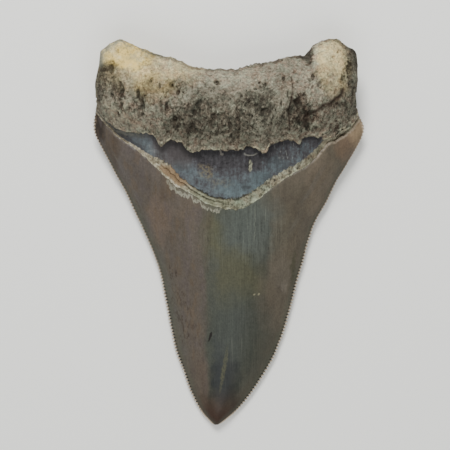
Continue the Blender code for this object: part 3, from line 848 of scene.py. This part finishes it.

# The bourlette, slate with fine grooves that run up the tooth: purple, and darker by painted shade for the
# overhanging root's shadow, just below the root's lip; bluer towards the band.
near_x, near_y, _ = place.warped(1.3, 0.5).xyz()


def mark(at_x, at_y, reach_x, reach_y, soft=0.6, lean=0):
    """A small spot, upright or leaning, whose edge is ragged more finely."""
    across = (near_x - at_x - lean * (near_y - at_y)) / reach_x
    up = (near_y - at_y) / reach_y
    return (across * across + up * up).ramp(1 + soft, 1 - soft)


below_root = 0 - root_gap
above_crown = 0 - enamel_gap
grooves = place.noise(0.42, 3, 0.6, (1, 10, 5))
columns = place.noise(1.3, 3, 0.6, (1, 7, 3))
along_band = paint.make("ShaderNodeCombineXYZ", {0: x / 7, 1: band_share * 0.9, 2: 0.15 * speckle})
arcs = along_band.noise(1, 4, 0.6)
clouds = place.noise(2.4, 4, 0.65, (1, 1.6, 1))
bloom = 0.85 * above_crown.ramp(10.5, 4.2) * x.ramp(-15, -8)
bloom += 0.75 * above_crown.ramp(5.5, 2.8) * x.ramp(-8, -15)
bloom *= below_root.ramp(0.3, 2.6) * x.ramp(6, 13, 1, 0.3)
slate = 0.26 + 0.42 * (grooves - 0.5) + 0.4 * (clouds - 0.5) + x.ramp(-9, -14, 0.36, 0.16) * (columns - 0.5)
slate += 0.95 * (arcs - 0.5) * bloom + 0.3 * bloom + 0.6 * speckled + 0.12 * grit
# Painted shade: the slate darkens just below the root's lip, standing for the shadow that the overhanging
# root casts.
slate -= 0.1 * below_root.ramp(1.7, 0.2) + 0.13 * below_root.ramp(3.8, 1.2) * spot(-12, 24, 5.5, 4.5, 0.8)
slate += total([
    (0.09, -20, 23.4, 3, 1.8, 0.9), (0.15, -22.6, 26.3, 3, 1.5, 0.9), (-0.12, -6.5, 18.9, 2, 2, 0.9),
    (0.1, 0.5, 16, 4, 2.5, 0.9), (-0.12, 4.7, 21.1, 2, 1.5, 0.9), (-0.14, 7.2, 19.2, 2.4, 2.6, 0.9),
    (-0.1, 11.1, 20.3, 2, 2, 0.9), (0.12, 19, 20.5, 1.8, 1.6, 0.9), (0.13, 21.6, 23.5, 2.2, 1.8, 0.9),
    (-0.08, 5, 11.9, 2, 1.5, 0.9), (0.12, 9.5, 18.8, 1.5, 1.8, 0.9)])
bourlette = graded(slate, (0.02, (36, 34, 35)), (0.95, (134, 140, 134)), (0.32, (63, 61, 62)),
                   (0.64, (88, 97, 99)))
purple = (1 - bloom) * clouds.ramp(0.42, 0.58) * x.ramp(-3, -9, 0.06, 0.2)
teal = total([(0.8, 9, 15, 3.4, 2.6, 0.9), (0.6, -13, 18.5, 3, 2, 0.9), (0.5, 14, 19, 3, 2, 0.9),
              (0.7, 2, 12, 5, 2.6, 0.9)])
rust = spot(-6.2, 16.8, 2.2, 2, 0.9) + 0.5 * spot(-2.5, 13.8, 3, 1.2, 0.9)
dull = spot(-15, 22.5, 6, 4.5, 0.9)
chips = speckle.ramp(0.62, 0.72) * clouds.ramp(0.45, 0.6) * bloom
bourlette = stained(bourlette, [(purple, (84, 74, 84))], "COLOR")
bourlette = stained(bourlette, [
    (0.3 * teal, (80, 102, 104)), (0.6 * rust * speckle.ramp(0.4, 0.62), (108, 97, 70)),
    (0.25 * dull, (92, 86, 82))])
bourlette = stained(bourlette, [(0.5 * dull, (90, 84, 82))], "COLOR")
# At its left end a dark line runs along the band, below a bluish strip. In the middle there is a
# pale flake with its shadow, and an arc below the hollow in the root's edge. The left one of its
# two thin ends runs out in a grey haze.
end_line = x.ramp(-21, -25) * above_crown.ramp(1.7, 1.1)
strip = x.ramp(-20, -25) * above_crown.ramp(1.3, 2)
flake = mark(6.2, 18.6, 0.5, 1.5) * speckle.ramp(0.34, 0.52)
arc = mark(6.2, 21.9, 1.9, 0.62, 0.2) * (1 - mark(6.2, 22.25, 1.7, 0.6, 0.2))
thread = mark(-2.2, 22.5, 0.25, 1.1, 0.5) + mark(-1.7, 21.7, 0.4, 0.4, 0.5)
wedge = mark(5, 12.6, 1.3, 0.5) + mark(10.8, 18.4, 0.35, 0.6)
scratches = place.noise(0.4, 2, stretch=(1, 5, 1)).ramp(0.6, 0.72) * spot(17, 23, 5.5, 3.5, 0.9)
haze = below_root.ramp(1.8, 0.2) * x.ramp(-20, -25) * speckle.ramp(0.36, 0.56)
bourlette = stained(bourlette, [
    (0.55 * chips, (142, 146, 138)), (0.6 * end_line, (54, 54, 55)), (0.35 * strip, (90, 96, 97)),
    (0.5 * mark(7.1, 18.2, 0.35, 1.3), (44, 40, 44)), (0.8 * flake, (142, 141, 118)),
    (0.55 * arc, (128, 126, 116)), (0.55 * thread, (134, 128, 116)), (0.5 * wedge, (52, 54, 54)),
    (0.5 * scratches, (126, 128, 122)), (0.6 * haze, (104, 102, 90))])
# The right end lies under brown grit.
buried = (x + 2 * mottled).ramp(26, 27.6)
bourlette = buried.mix(bourlette, root.scaled(0.86 + 0.5 * speckled))

# The crumbly band: thin strips at the left that lie over each other, and broken cream lumps at the
# right. It breaks off above the crown with a pale lip.
bent_share = band_share + 0.5 * (place.noise(2.2, 3) - 0.5) + 0.25 * speckled
strips = paint.math("PINGPONG", bent_share * 1.55 + 0.24, 0.5).ramp(0, 0.24)
layered = x.ramp(2, -3) * x.ramp(-22, -16)
broken = 1 - layered
lumps = place.cells(1.5, "Distance", seed=3) + 0.5 * mottled
cream = 0.5 + 0.6 * speckled + 0.6 * mottled + 0.45 * finely + 0.2 * grit
cream -= 0.26 * layered * (1 - strips) + 0.14 * broken * lumps.ramp(0.42, 0.8)
cream -= 0.26 * broken * pocks + 0.16 * broken * grooves.ramp(0.54, 0.66)
cream += (band_share + 0.4 * speckled).ramp(0.24, 0.06, 0, 0.2) * tinge.ramp(0.4, 0.55)
cream -= 0.42 * (band_share + 0.6 * mottled).ramp(0.74, 0.95) * x.ramp(9, 4) * x.ramp(-12, -9)
cream += total([(0.2, -25, 23.6, 4, 3, 0.9), (0.3, 28.6, 25.2, 2.6, 2.2, 0.9)])
band = graded(cream, (0.05, (56, 50, 42)), (0.95, (206, 202, 180)), (0.3, (100, 93, 76)),
              (0.56, (146, 138, 115)))
orange = spot(-16.4, 15.9, 6, 2.6, 0.9) * (band_share + 0.5 * speckled).ramp(0.06, 0.3)
grey_green = x.ramp(-1, 3) * mottle.ramp(0.4, 0.56)
band = stained(band, [(0.65 * orange, (122, 97, 69))])
band = stained(band, [
    (0.6 * orange, (150, 124, 92)), (0.7 * grey_green, (128, 131, 112))], "COLOR")
band = stained(band, [(0.3 * x.ramp(-20, -26), (142, 130, 114))])
band = (0.9 * x.ramp(19.5, 22)).mix(band, band.vector("MULTIPLY", (0.62, 0.57, 0.54)))
darker = total([(0.6, 1, 7.6, 3.6, 1.8, 0.9), (0.95, -7, 9.6, 6.4, 3.2, 0.9), (0.5, 8.5, 11, 3, 3, 0.9),
                (0.4, 4, 8.2, 2.4, 2.2, 0.9)])
band = darker.mix(band, band.vector("MULTIPLY", (0.68, 0.78, 0.74)))

# The crown's enamel: mauve-brown and blotched at the left, blue-grey and olive in the middle, with
# fine lines that run up the tooth, and brown to the right.
streaks = place.noise(0.36, 3, 0.6, (1, 24, 10))
streaked = place.noise(1.9, 3, 0.55, (1, 8, 4)) - 0.5
blotches = place.noise(1.5, 4, 0.65, (1, 1.6, 1))
low_down = y.ramp(2, -14)
wavy_x = x + 3.4 * streaked + 4 * (place.noise(5, 3, stretch=(1, 2.4, 1)) - 0.5)
left_share = wavy_x.ramp(-3.5, -10) * (1 - low_down) + wavy_x.ramp(-5.2, -7.8) * low_down
right_share = (x + 9 * streaked - 0.12 * y).ramp(4, 15)
crown = stained(tone(68, 69, 60), [(left_share, (82, 75, 67)), (0.9 * right_share, (81, 74, 63))])
CROWN_TINTS = [
    (0.6, -5.5, -1, 5, 6, (78, 76, 54)), (0.75, 7, 1, 9, 8.5, (72, 77, 72)),
    (0.7, 2, -13, 7.5, 8, (73, 72, 54)), (0.4, -4.5, -13, 1.6, 8, (62, 65, 62)),
    (0.75, 3, -30, 9, 13, (55, 59, 54)), (0.85, -1.2, -42.6, 3.9, 7.6, (33, 35, 35)),
    (0.4, -3, -36, 1.5, 8, (44, 47, 48)), (0.5, 16, -2, 4, 8, (84, 77, 64)),
    (0.6, 26, 13, 4, 9, (97, 87, 74)), (0.5, -27, 20, 7, 7, (82, 76, 72)),
    (0.6, -19.5, 4, 3.5, 7, (98, 85, 73)), (0.35, 9.5, -9, 3, 4, (60, 64, 58)),
    (0.5, -33, 23, 2.6, 5, (64, 54, 42)), (0.85, -37, 30.5, 2.6, 5, (40, 34, 29)),
    (0.6, 34, 25, 3.5, 6, (102, 84, 68)), (0.8, 37, 28.5, 2.6, 5, (130, 112, 88)),
    (0.4, -16.5, 12.5, 3, 3, (72, 60, 46)), (0.3, -11, 6, 3.5, 4, (88, 76, 60)),
    (0.35, 14.8, -10.3, 2.3, 6, (90, 84, 75)), (0.55, 18.2, -10, 0.9, 4.6, (56, 57, 42)),
    (0.3, 16.2, -15.4, 1.2, 1.8, (116, 109, 98)), (0.5, -8, -50, 4, 4, (58, 48, 40))]
for strength, *where, tint in CROWN_TINTS:
    beyond_left = (1 - left_share) if where[0] > -8 else 1
    crown = stained(crown, [(strength * spot(*where, 0.9) * beyond_left, tint)])
# Mauve and rusty streaks over the brown, and grey-green along the left edge.
stain = place.noise(2.6, 3, 0.6, (1, 3.2, 1))
crown = stained(crown, [
    (0.4 * left_share * stain.ramp(0.52, 0.62), (80, 73, 71)),
    (0.3 * left_share * stain.ramp(0.46, 0.38), (90, 75, 58)),
    (0.4 * edge_gap.ramp(5.5, 2) * left_share * y.ramp(14, 4), (74, 76, 68)),
    (y.ramp(-43, -53, 0, 0.9), (59, 42, 33)),
    (0.35 * left_share * y.ramp(-32, -40), (80, 67, 56))])
lined = 1.5 * spot(6, -1, 11, 10, 0.9) + 0.7 * spot(4, -32, 9, 14, 0.9) + 0.35
smudges = place.noise(3.6, 3, 0.55, (1, 1.6, 1)) - 0.5
crown_light = 1.02 + 0.75 * (streaks - 0.5) * lined + 0.3 * streaked + 0.42 * (blotches - 0.5)
crown_light += (0.5 * smudges + 0.05) * right_share
crown_light += 0.5 * speckled + 0.75 * finely + 0.08 * grit
crown = crown.scaled(crown_light)
# Clusters of small dark pits, one deeper scratch, thin pale lines, a few pale spots of painted highlight, and
# thin pale rims around the chips where the enamel has flaked below the band's left half.
PITTED = [
    (1, -15.2, -11.5, 1.1, 3.6), (0.8, -13.6, -20, 2.6, 5.5), (0.9, -10.8, -28, 2.6, 5),
    (0.6, 15.8, -16, 2.4, 1.2), (0.6, 19, -1.5, 0.9, 1.2), (0.7, -6, -17.8, 0.6, 0.8),
    (0.5, -8.4, -34, 1.6, 4), (0.5, -5.5, -12, 0.8, 3)]
crumble = place.noise(0.9, 4, 0.65) - 0.5
pitting = place.noise(0.75, 3, 0.6, (1, 2, 1))
specks = total(PITTED) * pitting.ramp(0.49, 0.68)
scratch = mark(-5, -29.3, 0.36, 1.5, 0.5, 0.35) + 0.3 * mark(0.2, -44, 0.6, 0.8)
rays = place.noise(0.32, 2, stretch=(1, 40, 10)).ramp(0.62, 0.74)
lines = rays * total([(0.5, 7, 2, 9, 6, 0.9), (0.3, 2, -32, 5, 12, 0.9), (0.25, -10, -2, 8, 8, 0.9)])
yellow_streak = mark(-1.2, -38.5, 0.6, 6, 0.8, 0.17) * fine.ramp(0.3, 0.6)
# Painted highlights: small pale spots that stand for glints of light on the enamel.
painted_glints = mark(7.4, -17.3, 0.35, 0.3) + mark(8.6, -17.4, 0.3, 0.3) + 0.5 * mark(9.8, -42.6, 0.9, 0.5)
chipped = total([(1, -12.5, 10.8, 6, 4.2), (0.9, -5.4, 6.2, 3.2, 3.4)])
fallen = 0.35 + 5.5 * (place.noise(1.25, 2, 0.55, (1, 7, 1)) - 0.34)
past_chips = enamel_gap - fallen * chipped
rims = past_chips.ramp(0.5, 0.2) * past_chips.ramp(-0.75, -0.3) * fine.ramp(0.34, 0.5)
lip = x.ramp(23, 26) * (enamel_gap + 0.5 * crumble).ramp(1, 0.45) * speckle.ramp(0.38, 0.5)
crown = stained(crown, [
    (0.3 * y.ramp(-22, -34) * right_share, (66, 65, 54)),
    (0.7 * specks * facing, (54, 45, 38)),
    (0.95 * scratch * facing, (32, 28, 25)),
    (0.5 * (lines + 0.4 * mark(7.4, 2, 0.16, 5)), (128, 130, 116)),
    (0.45 * yellow_streak * facing, (94, 92, 64)),
    (0.6 * painted_glints * facing, (140, 134, 108)),
    (0.5 * chipped * past_chips.ramp(0.1, -0.2), (92, 90, 75)),
    (0.75 * chipped * rims, (142, 140, 123)),
    (0.7 * lip, (138, 126, 108))])

# The four meet along seams that crumble a little. The cutting edges are grey-green, with notches darkened by
# painted shade, and pale teeth of worn dentine, brightened further as painted light against the steep edge's
# shade.
on_crown = (enamel_gap + 0.9 * crumble).ramp(0.06, 0.2)
above_band = (band_share + 0.8 * crumble).ramp(0.92, 1.08)
on_root = (root_gap + 0.2 * crumble).ramp(-0.05, 0.05)
colour = above_band.mix(band, bourlette)
colour = on_crown.mix(colour, crown)
colour = on_root.mix(colour, root)
beside_edge = (edge_gap + 2.4 * mottled).ramp(2.8, 0.5) * enamel_gap.ramp(0, 1) * y.ramp(26, 19)
tips = edge_gap.ramp(0.75, 0.25) * enamel_gap.ramp(0.5, 3)
# Painted shade in the notches between serrations; the teeth's pale colour is partly real wear and partly
# painted light.
colour = stained(colour, [
    (0.45 * beside_edge, (74, 77, 66)),
    (0.9 * tips * cut.ramp(0.1, 0.5), (28, 25, 21)),
    (0.85 * tips * cut.ramp(0.3, 0.02), (208, 188, 162))])

roughness = STONE_ROUGHNESS - ENAMEL_POLISH * on_crown + 0.12 * mottled + edge_gap.ramp(7, 2, 0, 0.3)
roughness = paint.math("MAXIMUM", roughness, ROOT_ROUGHNESS * on_root)
rock = on_root * (0.18 * place.noise(0.32, 3, 0.7) + 0.18 * speckle)
worn_band = (1 - above_band) * (1 - on_crown) * (0.35 * speckle + 0.3 * layered * strips)
smooth = (1 - on_crown) * above_band * 0.12 * grooves + on_crown * 0.02 * (streaks + 2 * fine - 3 * specks)
height = rock + (1 - on_root) * (worn_band + smooth)
bump = paint.make("ShaderNodeBump", {"Height": height, "Distance": MM, "Strength": 1}, out="Normal")
for wire, name in ((colour, "Base Color"), (roughness, "Roughness"), (bump, "Normal")):
    nodes.links.new(wire.socket, surface_node.inputs[name])
surface_node.inputs["Specular IOR Level"].default_value = SHEEN


# ---- The table, the light and the view --------------------------------------------------------
# The tooth lies on a plain pale table, seen from straight above. A soft window beyond the root
# lights it, with a weaker light from the tip's side and a little from all round.

TABLE_WIDTH = 3.0
TABLE_COLOUR = (0.95, 0.945, 0.89, 1)
TABLE_ROUGHNESS = 0.7
# Each light's place, its width and height, in metres, and its power.
LIGHTS = {"window": ((-0.08, 0.5, 0.55), 0.3, 0.25, 6.5), "fill": ((0.0, -0.45, 0.6), 0.7, 0.5, 3.0)}
ROOM_COLOUR = (0.9, 0.95, 1.0, 1)
ROOM_STRENGTH = 0.35
# The view spans this width at this height above the table.
VIEW_SPAN = 0.12825
SPAN_HEIGHT = 0.005
VIEW_HEIGHT = 0.405
VIEW_MIDDLE = (-0.88, 2.14)
SENSOR = 36.0
NEAREST = 0.01

table_mesh = bpy.data.meshes.new("table")
half = TABLE_WIDTH / 2
corners = [(-half, -half, 0), (half, -half, 0), (half, half, 0), (-half, half, 0)]
table_mesh.from_pydata(corners, [], [(0, 1, 2, 3)])
table = placed("table", table_mesh)
table_finish = bpy.data.materials.new("table_paint")
table_finish.use_nodes = True
table_sockets = table_finish.node_tree.nodes["Principled BSDF"].inputs
table_sockets["Base Color"].default_value = TABLE_COLOUR
table_sockets["Roughness"].default_value = TABLE_ROUGHNESS
table_mesh.materials.append(table_finish)

# Each light faces the tooth.
for name, (at, width, height, power) in LIGHTS.items():
    light = bpy.data.lights.new(name, "AREA")
    light.shape, light.size, light.size_y, light.energy = "RECTANGLE", width, height, power
    lamp = placed(name, light)
    lamp.location = at
    lamp.rotation_euler = (-Vector(at)).to_track_quat("-Z", "Y").to_euler()

world = bpy.data.worlds.new("room")
world.use_nodes = True
world.node_tree.nodes["Background"].inputs["Color"].default_value = ROOM_COLOUR
world.node_tree.nodes["Background"].inputs["Strength"].default_value = ROOM_STRENGTH
bpy.context.scene.world = world

lens = bpy.data.cameras.new("view")
lens.sensor_fit, lens.sensor_width = "HORIZONTAL", SENSOR
lens.lens = SENSOR * (VIEW_HEIGHT - SPAN_HEIGHT) / VIEW_SPAN
lens.clip_start = NEAREST
camera = placed("view", lens)
camera.location = (*(scale * MM * (np.array(VIEW_MIDDLE) - foot[:2])), VIEW_HEIGHT)
bpy.context.scene.camera = camera
